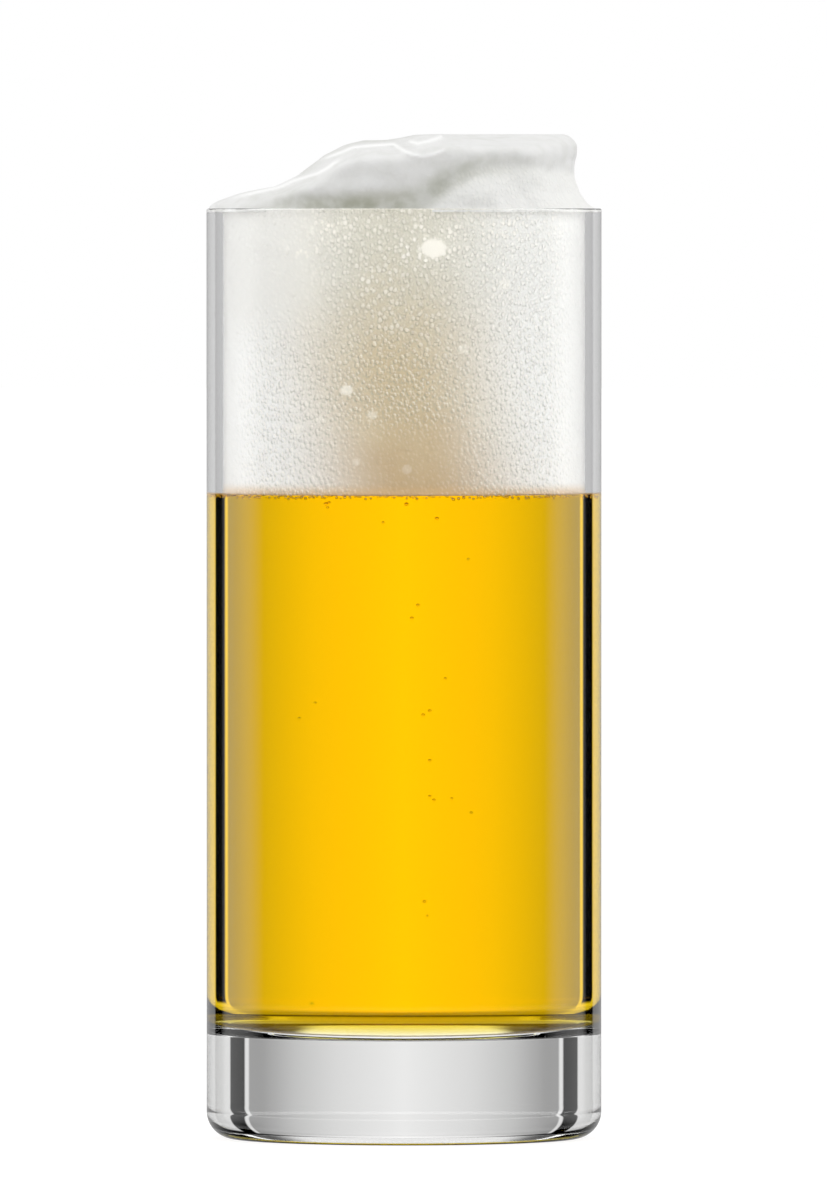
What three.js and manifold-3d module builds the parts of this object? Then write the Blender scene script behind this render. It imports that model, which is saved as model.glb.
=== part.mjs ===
// A straight-sided beer glass, standing full: the tumbler with its heavy base, the lager in it,
// and the head of foam that fills the rest and heaps up above the rim.
// Millimetres, +Z up. The origin is on the glass's axis, on the surface that it stands on.
// The front, from which the heap of foam is high on the right, faces -Y.
import * as THREE from "three";
import { mergeVertices } from "three/addons/utils/BufferGeometryUtils.js";
import Module from "manifold-3d";

// The tumbler.
const GLASS_DIAMETER = 66;
const GLASS_HEIGHT = 155.4;
const WALL_THICKNESS = 2.6;
const BASE_THICKNESS = 17.2;
const HEEL_RADIUS = 4.6;
const FLOOR_FILLET_RADIUS = 6.5;
const RIM_ROUNDING = 0.4;
const STANDING_RING_WIDTH = 8;
const PUNT_DEPTH = 0.8;

// What is in it.
const BEER_DEPTH = 90.8;
const CROWN_HEIGHT = 12.4;
// The low foam over the whole mouth: how much of the wall's thickness its edge covers, its height
// in the middle, and how level it is there.
const RIM_COVERED = 0.58;
const CROWN_FOOT_HEIGHT = 4.2;
const CROWN_FOOT_LEVELNESS = 4;
const SPILL_WIDTH = 18;
const SPILL_HEIGHT = 1.1;
// The room kept between the glass, the beer and the foam.
const CLEARANCE = 0.3;

// How finely the curves are stepped.
const TURN_STEPS = 72;
const FILLET_STEPS = 6;
const CURVE_STEPS = 8;
const LOBE_STEPS = 36;
const WELD_DISTANCE = 1e-4;

const OUTER_RADIUS = GLASS_DIAMETER / 2;
const INNER_RADIUS = OUTER_RADIUS - WALL_THICKNESS;
const BEER_RADIUS = INNER_RADIUS - CLEARANCE;
const BEER_BOTTOM = BASE_THICKNESS + CLEARANCE;
const BEER_TOP = BASE_THICKNESS + BEER_DEPTH;
const FOAM_BOTTOM = BEER_TOP + CLEARANCE;
const CROWN_BOTTOM = GLASS_HEIGHT + CLEARANCE;
const CROWN_TOP = GLASS_HEIGHT + CROWN_HEIGHT;
const CROWN_RADIUS = INNER_RADIUS + WALL_THICKNESS * RIM_COVERED;

// The heap's lobes. Places and radii across are shares of the mouth's radius, and those up and
// down are shares of the crown's height. A tilt, in degrees, lowers the lobe's left end, and a
// squareness under 1 fills out its shoulders.
const BODY = {
  centre: [0.116, 0, 0.08],
  radii: [0.837, 0.9, 0.532],
  tilt: 5,
  squareness: 0.75,
};
const MOUND = {
  centre: [-0.12, -0.02, 0.42],
  radii: [0.492, 0.84, 0.508],
  tilt: 9,
  squareness: 0.9,
};
const CAP = {
  centre: [0.415, -0.1, 0.677],
  radii: [0.538, 0.73, 0.323],
  tilt: 0,
  squareness: 0.55,
};
// The stem of foam under the cap stands off centre and is flared where it leaves the rim:
// its radius, as a share of the mouth's, against its height, as a share of the crown's.
const STEM_OFFSET = 0.266;
const STEM_FOOT_RADIUS = 0.787;
const STEM_WAIST_RADIUS = 0.681;
const STEM_WAIST_HEIGHT = 0.435;
const STEM_TOP_RADIUS = 0.5;
const STEM_TOP_HEIGHT = 0.75;

const wasm = await Module();
wasm.setup();

const point = (radius, height) => new THREE.Vector2(radius, height);

// Points of a circular arc about (radius, height), between two angles in degrees.
function arc(radius, height, size, from, to) {
  const points = [];
  for (let i = 0; i <= FILLET_STEPS; i++) {
    const angle = THREE.MathUtils.degToRad(from + ((to - from) * i) / FILLET_STEPS);
    points.push(point(radius + size * Math.cos(angle), height + size * Math.sin(angle)));
  }
  return points;
}

// Points of a smooth curve, where the ends run level.
function swell(fromRadius, fromHeight, toRadius, toHeight) {
  const points = [];
  for (let i = 0; i <= CURVE_STEPS; i++) {
    const share = i / CURVE_STEPS;
    const eased = (1 - Math.cos(Math.PI * share)) / 2;
    points.push(
      point(
        THREE.MathUtils.lerp(fromRadius, toRadius, share),
        THREE.MathUtils.lerp(fromHeight, toHeight, eased),
      ),
    );
  }
  return points;
}

// A profile of radius and height, turned about +Z.
function turned(profile) {
  return new THREE.LatheGeometry(profile, TURN_STEPS).rotateX(Math.PI / 2);
}

// A geometry as a solid that can be joined and cut.
function solidOf(geometry) {
  const bare = geometry.clone();
  bare.deleteAttribute("normal");
  bare.deleteAttribute("uv");
  const welded = mergeVertices(bare, WELD_DISTANCE);
  return new wasm.Manifold(
    new wasm.Mesh({
      numProp: 3,
      vertProperties: welded.getAttribute("position").array,
      triVerts: new Uint32Array(welded.getIndex().array),
    }),
  );
}

// A solid as a geometry with its own flat faces.
function geometryOf(solid) {
  const mesh = solid.getMesh();
  const geometry = new THREE.BufferGeometry();
  geometry.setAttribute("position", new THREE.BufferAttribute(mesh.vertProperties, 3));
  geometry.setIndex(new THREE.BufferAttribute(mesh.triVerts, 1));
  geometry.computeVertexNormals();
  return geometry;
}

// The tumbler's whole section: up the outside from the punt, over the rim and down the inside.
function tumblerProfile() {
  const ringOuter = OUTER_RADIUS - HEEL_RADIUS;
  const ringInner = ringOuter - STANDING_RING_WIDTH;
  const rimRounding = Math.min(RIM_ROUNDING, WALL_THICKNESS / 2);
  const fillet = Math.min(FLOOR_FILLET_RADIUS, INNER_RADIUS);
  return [
    ...swell(0, PUNT_DEPTH, ringInner, 0),
    ...arc(ringOuter, HEEL_RADIUS, HEEL_RADIUS, -90, 0),
    ...arc(OUTER_RADIUS - rimRounding, GLASS_HEIGHT - rimRounding, rimRounding, 0, 90),
    ...arc(INNER_RADIUS + rimRounding, GLASS_HEIGHT - rimRounding, rimRounding, 90, 180),
    ...arc(INNER_RADIUS - fillet, BASE_THICKNESS + fillet, fillet, 0, -90),
    point(0, BASE_THICKNESS),
  ];
}

// The beer keeps its clearance all round the floor's fillet too, because both share a centre.
function beerProfile() {
  const fillet = FLOOR_FILLET_RADIUS - CLEARANCE;
  return [
    point(0, BEER_BOTTOM),
    ...arc(BEER_RADIUS - fillet, BEER_BOTTOM + fillet, fillet, -90, 0),
    point(BEER_RADIUS, BEER_TOP),
    point(0, BEER_TOP),
  ];
}

// The foam inside the glass, which ends within the crown above the rim.
function foamColumn() {
  const top = CROWN_BOTTOM + CLEARANCE;
  return turned([
    point(0, FOAM_BOTTOM),
    point(BEER_RADIUS, FOAM_BOTTOM),
    point(BEER_RADIUS, top),
    point(0, top),
  ]);
}

// The low crown over the whole mouth, steep at its edge and nearly level in the middle.
function crownFoot() {
  const profile = [point(0, GLASS_HEIGHT), point(CROWN_RADIUS, GLASS_HEIGHT)];
  for (let i = 0; i <= CURVE_STEPS; i++) {
    const share = 1 - (i / CURVE_STEPS) ** 2;
    const rise = CROWN_FOOT_HEIGHT * (1 - share ** CROWN_FOOT_LEVELNESS);
    profile.push(point(CROWN_RADIUS * share, CROWN_BOTTOM + rise));
  }
  return turned(profile);
}

// One lobe: a rounded form between a ball and a box, stretched, tilted and set in place.
function lobe({ centre, radii, tilt, squareness }) {
  const geometry = new THREE.SphereGeometry(1, LOBE_STEPS, LOBE_STEPS / 2).rotateX(Math.PI / 2);
  const corner = new THREE.Vector3();
  const position = geometry.getAttribute("position");
  for (let i = 0; i < position.count; i++) {
    corner.fromBufferAttribute(position, i);
    const across = Math.hypot(corner.x, corner.y);
    const filled = across < WELD_DISTANCE ? 0 : across ** squareness / across;
    const height = Math.sign(corner.z) * Math.abs(corner.z) ** squareness;
    position.setXYZ(
      i,
      corner.x * filled * radii[0] * BEER_RADIUS,
      corner.y * filled * radii[1] * BEER_RADIUS,
      height * radii[2] * CROWN_HEIGHT,
    );
  }
  geometry.rotateY(THREE.MathUtils.degToRad(-tilt));
  geometry.translate(
    centre[0] * BEER_RADIUS,
    centre[1] * BEER_RADIUS,
    GLASS_HEIGHT + centre[2] * CROWN_HEIGHT,
  );
  return geometry;
}

// The stem under the cap, drawn in above its flared foot.
function stem() {
  const foot = STEM_FOOT_RADIUS * BEER_RADIUS;
  const waist = STEM_WAIST_RADIUS * BEER_RADIUS;
  const profile = [point(0, GLASS_HEIGHT)];
  for (let i = 0; i <= CURVE_STEPS; i++) {
    const share = i / CURVE_STEPS;
    profile.push(
      point(
        THREE.MathUtils.lerp(waist, foot, (1 - share) ** 2),
        CROWN_BOTTOM + STEM_WAIST_HEIGHT * CROWN_HEIGHT * share,
      ),
    );
  }
  const top = GLASS_HEIGHT + STEM_TOP_HEIGHT * CROWN_HEIGHT;
  profile.push(point(STEM_TOP_RADIUS * BEER_RADIUS, top));
  profile.push(point(0, top));
  return turned(profile).translate(STEM_OFFSET * BEER_RADIUS, 0, 0);
}

// The little foam that has crept out over the rim, at the left.
function spill() {
  const reach = (WALL_THICKNESS + CLEARANCE) / 2;
  const geometry = new THREE.SphereGeometry(1, LOBE_STEPS, LOBE_STEPS / 2);
  geometry.scale(reach, SPILL_WIDTH / 2, SPILL_HEIGHT);
  return geometry.translate(-OUTER_RADIUS + reach, 0, CROWN_BOTTOM);
}

// Everything of the crown that is above the rim, and level at the top, where it is scraped off.
function foamHead() {
  const room = new THREE.BoxGeometry(GLASS_DIAMETER, GLASS_DIAMETER, CROWN_TOP - CROWN_BOTTOM);
  room.translate(0, 0, (CROWN_BOTTOM + CROWN_TOP) / 2);
  const heap = [BODY, MOUND, CAP]
    .map(lobe)
    .concat(stem(), spill())
    .reduce((sum, piece) => sum.add(solidOf(piece)), solidOf(crownFoot()));
  return geometryOf(heap.intersect(solidOf(room)).add(solidOf(foamColumn())));
}

function piece(name, geometry, material) {
  const mesh = new THREE.Mesh(geometry, material);
  mesh.name = name;
  return mesh;
}

const clearGlass = new THREE.MeshStandardMaterial({
  color: 0xe6ebea,
  roughness: 0.03,
  metalness: 0,
  transparent: true,
  opacity: 0.35,
});
const lager = new THREE.MeshStandardMaterial({
  color: 0xffcc01,
  roughness: 0.08,
  metalness: 0,
});
const froth = new THREE.MeshStandardMaterial({
  color: 0xece8dc,
  roughness: 0.75,
  metalness: 0,
});

const beerGlass = new THREE.Group();
beerGlass.add(
  piece("tumbler", turned(tumblerProfile()), clearGlass),
  piece("beer", turned(beerProfile()), lager),
  piece("foam_head", foamHead(), froth),
);

export default beerGlass;
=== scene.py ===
"""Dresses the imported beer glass: clear glass, golden lager with its bubbles, and a head of foam.

Metres, +Z up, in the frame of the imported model. The front faces -Y.
"""

from __future__ import annotations

import logging
import math
from collections.abc import Sequence
from dataclasses import dataclass
from enum import Enum
from typing import Any

import bmesh
import bpy
import numpy as np
from bpy.types import Material, Mesh, Object
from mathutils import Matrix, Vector

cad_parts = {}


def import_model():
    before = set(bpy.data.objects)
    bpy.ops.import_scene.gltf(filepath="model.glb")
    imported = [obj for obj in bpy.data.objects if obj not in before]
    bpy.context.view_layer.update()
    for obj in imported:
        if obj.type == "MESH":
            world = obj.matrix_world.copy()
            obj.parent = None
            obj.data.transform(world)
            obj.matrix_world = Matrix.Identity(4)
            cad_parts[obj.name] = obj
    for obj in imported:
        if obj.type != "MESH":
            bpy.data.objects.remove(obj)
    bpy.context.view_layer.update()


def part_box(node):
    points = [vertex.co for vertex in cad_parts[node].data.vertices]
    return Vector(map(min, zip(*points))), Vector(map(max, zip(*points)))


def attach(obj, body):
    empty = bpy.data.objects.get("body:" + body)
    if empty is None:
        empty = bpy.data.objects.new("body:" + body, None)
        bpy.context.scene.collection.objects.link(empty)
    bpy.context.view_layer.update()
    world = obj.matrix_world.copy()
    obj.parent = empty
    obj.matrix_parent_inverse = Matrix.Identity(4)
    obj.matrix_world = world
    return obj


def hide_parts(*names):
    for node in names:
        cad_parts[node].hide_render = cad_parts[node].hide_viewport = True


MM = 0.001
FULL_TURN = 2 * math.pi
BODY = "root"
WHITE = (1.0, 1.0, 1.0, 1.0)
GLASS_INDEX = 1.52
BEER_INDEX = 1.345
# How the lengths of a noise's waves vary, as shares of the length that is asked for.
WAVE_SHARES = (0.75, 1.6)

log = logging.getLogger("beer_glass")

Colour = tuple[float, float, float, float]
Range = tuple[float, float]
Profile = Sequence[Range]
# A noise's wavelength, its number of waves and its random seed.
Waves = tuple[float, int, int]


class Slot(Enum):
    """The record's material slots."""

    GLASS = "glass"
    BEER = "beer"
    FOAM = "foam"


class Node(Enum):
    """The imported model's nodes."""

    TUMBLER = "tumbler"
    BEER = "beer"
    FOAM_HEAD = "foam_head"


class Value:
    """A shader socket that takes part in Python arithmetic."""

    def __init__(self, tree: Tree, socket: bpy.types.NodeSocket) -> None:
        """Wraps a socket of a tree."""
        self.tree = tree
        self.socket = socket

    def math(self, operation: str, *others: Value | float) -> Value:
        """Adds a Math node.

        Args:
            operation: The node's operation.
            others: What goes in after this value.

        Returns:
            The node's result.
        """
        inputs = dict(enumerate((self, *others)))
        return self.tree.node("ShaderNodeMath", {"operation": operation}, inputs)["Value"]

    def __add__(self, other: Value | float) -> Value:
        """This value and the other together."""
        return self.math("ADD", other)

    def __radd__(self, other: float) -> Value:
        """The other and this value together."""
        return self.math("ADD", other)

    def __sub__(self, other: Value | float) -> Value:
        """This value less the other."""
        return self.math("SUBTRACT", other)

    def __rsub__(self, other: float) -> Value:
        """The other less this value."""
        return self.math("MULTIPLY", -1.0).math("ADD", other)

    def __mul__(self, other: Value | float) -> Value:
        """This value times the other."""
        return self.math("MULTIPLY", other)

    def __rmul__(self, other: float) -> Value:
        """The other times this value."""
        return self.math("MULTIPLY", other)

    def __truediv__(self, other: Value | float) -> Value:
        """This value over the other."""
        return self.math("DIVIDE", other)

    def __abs__(self) -> Value:
        """This value without its sign."""
        return self.math("ABSOLUTE")

    def root(self) -> Value:
        """This value's square root."""
        return self.math("SQRT")

    def held(self) -> Value:
        """This value, kept between 0 and 1."""
        return self.math("MAXIMUM", 0.0).math("MINIMUM", 1.0)

    def over(self, limit: float) -> Value:
        """1 where this value is over the limit, and 0 elsewhere."""
        return self.math("GREATER_THAN", limit)

    def rise(self, low: float, high: float) -> Value:
        """Goes smoothly from 0 at low to 1 at high.

        Args:
            low: Where it starts.
            high: Where it ends.

        Returns:
            The share, held at 0 and at 1.
        """
        settings = {"interpolation_type": "SMOOTHSTEP"}
        inputs = {"Value": self, "From Min": low, "From Max": high}
        return self.tree.node("ShaderNodeMapRange", settings, inputs)["Result"]

    def between(self, first: float, last: float) -> Value:
        """Spreads this value, from 0 to 1, between two others."""
        return self * (last - first) + first

    def band(self, low: float, high: float, edge: float) -> Value:
        """1 where this value lies between low and high, with soft edges."""
        return self.rise(low - edge, low + edge) * (1 - self.rise(high - edge, high + edge))


class Made:
    """A new shader node, whose outputs are read by name."""

    def __init__(self, tree: Tree, node: bpy.types.Node) -> None:
        """Wraps a node of a tree."""
        self.tree = tree
        self.node = node

    def __getitem__(self, name: str) -> Value:
        """The output of that name, or of that identifier."""
        return Value(self.tree, find_socket(self.node.outputs, name))


def find_socket(sockets: Any, key: str | int) -> bpy.types.NodeSocket:
    """Finds a socket of a node.

    Args:
        sockets: The node's inputs or outputs.
        key: The socket's identifier, name or number.

    Returns:
        The socket.
    """
    if isinstance(key, int):
        return sockets[key]
    for socket in sockets:
        if socket.identifier == key:
            return socket
    return sockets[key]


class Tree:
    """The node tree of a material or of the world."""

    def __init__(self, owner: Material | bpy.types.World) -> None:
        """Empties the owner's tree, to build it anew.

        Args:
            owner: The material or world.
        """
        owner.use_nodes = True
        self.tree = owner.node_tree
        self.tree.nodes.clear()

    def node(
        self,
        kind: str,
        settings: dict[str, Any] | None = None,
        inputs: dict[str | int, Any] | None = None,
    ) -> Made:
        """Adds a node.

        Args:
            kind: Its type.
            settings: Its properties, which are set first. A ramp's stops go under "stops".
            inputs: A value or a link for each socket.

        Returns:
            The node.
        """
        node = self.tree.nodes.new(kind)
        for name, value in (settings or {}).items():
            if name == "stops":
                self.set_stops(node.color_ramp, value)
            else:
                setattr(node, name, value)
        for key, value in (inputs or {}).items():
            socket = find_socket(node.inputs, key)
            if isinstance(value, Value):
                self.tree.links.new(value.socket, socket)
            else:
                socket.default_value = value
        return Made(self, node)

    @staticmethod
    def set_stops(ramp: bpy.types.ColorRamp, stops: Profile) -> None:
        """Gives a ramp grey stops, each a place and a brightness.

        Args:
            ramp: The ramp.
            stops: Its stops, in order.
        """
        for place, grey in stops[len(ramp.elements) :]:
            ramp.elements.new(place)
        for element, (place, grey) in zip(ramp.elements, stops):
            element.position = place
            element.color = (grey, grey, grey, 1.0)

    def coordinates(self, kind: str) -> Value:
        """Texture coordinates of a kind, such as Object."""
        return self.node("ShaderNodeTexCoord")[kind]

    def axes(self, vector: Value) -> tuple[Value, Value, Value]:
        """A vector's three parts."""
        parts = self.node("ShaderNodeSeparateXYZ", {}, {"Vector": vector})
        return parts["X"], parts["Y"], parts["Z"]

    def ramp(self, value: Value, stops: Profile) -> Value:
        """A brightness that changes with a value from 0 to 1."""
        colour = self.node("ShaderNodeValToRGB", {"stops": stops}, {"Fac": value})["Color"]
        return self.node("ShaderNodeRGBToBW", {}, {"Color": colour})["Val"]

    def mix(self, factor: Value | float, first: Value | Colour, second: Value | Colour) -> Value:
        """A colour between two others."""
        inputs = {"Factor_Float": factor, "A_Color": first, "B_Color": second}
        return self.node("ShaderNodeMix", {"data_type": "RGBA"}, inputs)["Result_Color"]

    def carried(self, name: str) -> Value:
        """A value that the mesh carries at each of its points."""
        return self.node("ShaderNodeAttribute", {"attribute_name": name})["Fac"]

    def vector(self, operation: str, first: Value, second: Value | tuple) -> Value:
        """Vector maths on two vectors."""
        made = self.node("ShaderNodeVectorMath", {"operation": operation}, {0: first, 1: second})
        return made["Vector"]

    def noise(self, vector: Value, size: float, detail: float = 2.0) -> Value:
        """Soft noise whose features are about that size across."""
        inputs = {"Vector": vector, "Scale": 1.0 / size, "Detail": detail}
        return self.node("ShaderNodeTexNoise", {}, inputs)["Fac"]

    def cells(self, vector: Value, size: float) -> tuple[Value, Value]:
        """Random cells of about that size, in a plane.

        Args:
            vector: Where the cells lie, along X and Y.
            size: How far apart their middles are.

        Returns:
            The distance from the nearest middle, as a share of the size, and that cell's own
            chance, from 0 to 1.
        """
        inputs = {"Vector": vector, "Scale": 1.0 / size}
        made = self.node("ShaderNodeTexVoronoi", {"voronoi_dimensions": "2D"}, inputs)
        return made["Distance"], self.axes(made["Color"])[0]

    def bump(self, height: Value, depth: float) -> Value:
        """A normal that follows a height from 0 to 1, which stands for that depth."""
        inputs = {"Height": height, "Distance": depth, "Strength": 1.0}
        return self.node("ShaderNodeBump", {}, inputs)["Normal"]

    def principled(self, **inputs: Any) -> Made:
        """A Principled shader, with its sockets' names written with underscores."""
        named = {name.replace("_", " "): value for name, value in inputs.items()}
        return self.node("ShaderNodeBsdfPrincipled", {}, named)

    def surface(self, shader: Value, volume: Value | None = None) -> None:
        """Ends a material's tree.

        Args:
            shader: The surface's shader.
            volume: The shader of what is behind the surface.
        """
        inputs = {"Surface": shader}
        if volume:
            inputs["Volume"] = volume
        self.node("ShaderNodeOutputMaterial", {}, inputs)


@dataclass(frozen=True)
class Clear:
    """A clear, polished face, where the index of refraction rises by that factor."""

    name: str
    ior: float

    def colour(self, tree: Tree) -> Value | Colour:
        """What the face leaves of the light."""
        return WHITE

    def volume(self, tree: Tree) -> Value | None:
        """What takes up light behind the face."""
        return None

    def painted_dark_share(self, tree: Tree) -> Value | float:
        """How far the face is painted dark and lets no light through, as painted shade."""
        return 0.0

    def material(self) -> Material:
        """Makes the material.

        Returns:
            The material.
        """
        made = bpy.data.materials.new(self.name)
        tree = Tree(made)
        shader = tree.principled(
            Base_Color=self.colour(tree),
            Metallic=self.painted_dark_share(tree),
            Roughness=0.0,
            IOR=self.ior,
            Transmission_Weight=1.0,
        )
        tree.surface(shader["BSDF"], self.volume(tree))
        return made


@dataclass(frozen=True)
class Glass(Clear):
    """Nearly colourless glass, painted grey in its thick base: painted shade for the greyer table
    seen through it.
    """

    # Painted shade: the grey of the darker view through the base, painted into the glass.
    base_painted_shade: Colour = (0.66, 0.66, 0.655, 1.0)
    thick_below: float = 17.2 * MM
    clear_above: float = 17.9 * MM

    def colour(self, tree: Tree) -> Value | Colour:
        """Painted grey low down, as painted shade, and clear above."""
        height = tree.axes(tree.coordinates("Object"))[2]
        return tree.mix(height.rise(self.thick_below, self.clear_above), self.base_painted_shade, WHITE)


@dataclass(frozen=True)
class WetGlass(Glass):
    """Glass against beer, with a narrow painted dark ring, painted shade, where its floor starts to
    rise.
    """

    ring_low: float = 17.24 * MM
    ring_high: float = 17.66 * MM
    ring_edge: float = 0.03 * MM
    # Painted shade: the colour of the dark ring.
    painted_ring_shade: Colour = (0.02, 0.017, 0.008, 1.0)

    def painted_dark_share(self, tree: Tree) -> Value | float:
        """The painted dark ring, painted shade in the narrow turn of the floor."""
        height = tree.axes(tree.coordinates("Object"))[2]
        return height.band(self.ring_low, self.ring_high, self.ring_edge)

    def colour(self, tree: Tree) -> Value | Colour:
        """Painted grey low down and clear above, with the painted dark ring between them."""
        return tree.mix(self.painted_dark_share(tree), super().colour(tree), self.painted_ring_shade)


@dataclass(frozen=True)
class Lager(Clear):
    """Golden beer, which takes its colour from its depth."""

    tint: Colour = (0.9917, 0.9025, 0.0, 1.0)
    density: float = 120.0

    def volume(self, tree: Tree) -> Value | None:
        """What the beer takes up on the way."""
        inputs = {"Color": self.tint, "Density": self.density}
        return tree.node("ShaderNodeVolumeAbsorption", {}, inputs)["Volume"]


def shifted(band: Range, level: float) -> Range:
    """A range, moved by a level."""
    return band[0] + level, band[1] + level


@dataclass(frozen=True)
class Froth:
    """Wet white froth, tan where beer still drains through it, painted greyer and tanner in front
    of its middle as painted shade, and lighter at its sides as painted light.

    The meshes carry what changes from place to place: how much its bubbles show, where painted
    highlights make them shine, where a painted highlight marks a fold's crest, where painted shade
    darkens the skin in a hollow, where the skin is inside the glass, and where a large bubble
    shows, painted bright.
    """

    beer_top: float
    rim: float
    radius: float
    name: str = "froth"
    # Its tones, many of them painted light and shade.
    dry: Colour = (0.84, 0.84, 0.83, 1.0)
    stem: Colour = (0.93, 0.93, 0.91, 1.0)
    # Painted light: the edges are lighter than the front middle, and lighter still on the right.
    # Painted shade: darker at the far sides and in the upper left corner.
    edge: Colour = (0.88, 0.88, 0.865, 1.0)
    right_edge_painted_light: Colour = (0.92, 0.92, 0.9, 1.0)
    side: Colour = (0.81, 0.81, 0.79, 1.0)
    corner: Colour = (0.78, 0.775, 0.745, 1.0)
    # The front middle, low to high: the tan of draining beer, with painted shade that makes it
    # greyer and tanner than the edges.
    high: Colour = (0.74, 0.71, 0.60, 1.0)
    middle: Colour = (0.64, 0.53, 0.342, 1.0)
    low: Colour = (0.53, 0.385, 0.215, 1.0)
    soaked: Colour = (0.66, 0.44, 0.22, 1.0)
    # Painted shade for hollows and creases, and for the gaps and flanks between bubbles; it also
    # tints the random grey mottling.
    hollow: Colour = (0.46, 0.47, 0.39, 1.0)
    # Painted highlight on the folds' crests.
    crest: Colour = (1.0, 1.0, 0.99, 1.0)
    # Painted highlight: the bright tone of shining bubbles, of the flanks that face the light and
    # of the large bubbles.
    bubble: Colour = (0.99, 0.96, 0.87, 1.0)
    # Where they change across, and in height above the beer or the rim.
    middle_across: Range = (2 * MM, 23 * MM)
    right_across: Range = (-10 * MM, 20 * MM)
    side_across: Range = (25.5 * MM, 29 * MM)
    corner_across: Range = (8 * MM, 24 * MM)
    corner_height: Range = (-26 * MM, -14 * MM)
    upper_height: Range = (-34 * MM, -8 * MM)
    soaked_height: Range = (-0.5 * MM, 2 * MM)
    tan_drop: float = 4 * MM
    high_drop: float = 6 * MM
    lean: float = 0.16
    lean_from: float = 13 * MM
    lean_limit: float = 9 * MM
    stem_gain: float = 3.3
    # Soft noises: the size of their features, where they set in, and what they do.
    detail: float = 3.0
    drift_size: float = 11 * MM
    drift: float = 14 * MM
    cloud_size: float = 3.5 * MM
    cloud_band: Range = (0.35, 0.75)
    cloud_share: float = 0.16
    blotch_size: float = 2.6 * MM
    blotch_band: Range = (0.25, 0.7)
    blotch_shares: Range = (0.4, 1.0)
    patch_size: float = 5 * MM
    patch_band: Range = (0.3, 0.65)
    patch_shares: Range = (0.2, 0.35)
    shift_sizes: Range = (1.9 * MM, 2.4 * MM)
    shift: float = 0.35 * MM
    # The bubbles, and the painted light and shade on them.
    cell: float = 0.95 * MM
    squash: float = 0.85
    dome_shares: Range = (0.28, 0.52)
    dome_edge: Range = (0.45, 1.0)
    small_cell: float = 0.6
    small_edge: Range = (0.2, 0.45)
    small_rise: float = 0.4
    # How far across the painted emboss looks for its light.
    lit_from: tuple[float, float, float] = (0.18 * MM, 0.14 * MM, 0.0)
    bright_shares: Range = (0.4, 1.0)
    shine_band: Range = (-0.1, 0.7)
    flank_shares: Range = (1.0, 0.4)
    flank_shade: float = 0.6
    flank_shine: float = 0.75
    gap_shade: float = 0.12
    # The skin.
    grain_size: float = 0.9 * MM
    grain_rise: float = 0.3
    dome_rises: Range = (0.1, 0.8)
    relief: float = 0.2 * MM
    roughness: float = 0.5
    specular: float = 0.3

    def inside(self, tree: Tree, place: Value) -> Value:
        """The colour of the froth in the glass, without its bubbles, with painted light and shade.

        Args:
            tree: The material's tree.
            place: Where on the surface.

        Returns:
            The colour.
        """
        x, _, still = tree.axes(place)
        height = still + (tree.noise(place, self.drift_size, self.detail) - 0.5) * self.drift
        halfway = (self.beer_top + self.rim) / 2 - self.tan_drop
        risen = height.rise(self.beer_top - self.tan_drop, halfway)
        # Painted shade with real tan: the front middle, tanner and darker low down.
        front = tree.mix(risen, self.low, self.middle)
        front = tree.mix(height.rise(halfway, self.rim - self.high_drop), front, self.high)
        # Painted light at the edges and on the right, painted shade at the far sides and the upper
        # left corner.
        edge = tree.mix(x.rise(*self.right_across), self.edge, self.right_edge_painted_light)
        edge = tree.mix(abs(x).rise(*self.side_across), edge, self.side)
        corner = still.rise(*shifted(self.corner_height, self.rim))
        edge = tree.mix((0 - x).rise(*self.corner_across) * corner, edge, self.corner)
        climbed = (still - (self.beer_top + self.lean_from)).math("MINIMUM", self.lean_limit)
        aside = abs(x + climbed * self.lean).rise(*self.middle_across)
        dry = still.rise(*shifted(self.soaked_height, self.beer_top))
        return tree.mix(1 - dry, tree.mix(aside, front, edge), self.soaked)

    def above(self, tree: Tree, place: Value) -> Value:
        """The colour of the froth above the rim, without its bubbles.

        Args:
            tree: The material's tree.
            place: Where on the surface.

        Returns:
            The colour.
        """
        cloud = tree.noise(place, self.cloud_size, self.detail).rise(*self.cloud_band)
        made = tree.mix(cloud * self.cloud_share, self.dry, self.hollow)
        return tree.mix((tree.carried("bubbly") * self.stem_gain).held(), made, self.stem)

    def unrolled(self, tree: Tree, place: Value) -> Value:
        """The skin laid out flat, a little shifted here and there.

        Args:
            tree: The material's tree.
            place: Where on the surface.

        Returns:
            The place on the flat skin, along X and Y.
        """
        x, y, z = tree.axes(place)
        turn = x.math("ARCTAN2", 0 - y)
        across, up = [(tree.noise(place, size) - 0.5) * self.shift for size in self.shift_sizes]
        parts = {"X": turn * self.radius + across, "Y": z * self.squash + up}
        return tree.node("ShaderNodeCombineXYZ", {}, parts)["Vector"]

    def domes(self, tree: Tree, unrolled: Value) -> Value:
        """How far each bubble stands out, from 0 to 1, over the unrolled skin.

        Args:
            tree: The material's tree.
            unrolled: Where on the flat skin.

        Returns:
            The height.
        """
        distance, chance = tree.cells(unrolled, self.cell)
        large = 1 - (distance / chance.between(*self.dome_shares)).rise(*self.dome_edge)
        distance, _ = tree.cells(unrolled, self.cell * self.small_cell)
        small = (1 - distance.rise(*self.small_edge)) * self.small_rise
        return large.math("MAXIMUM", small)

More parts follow.
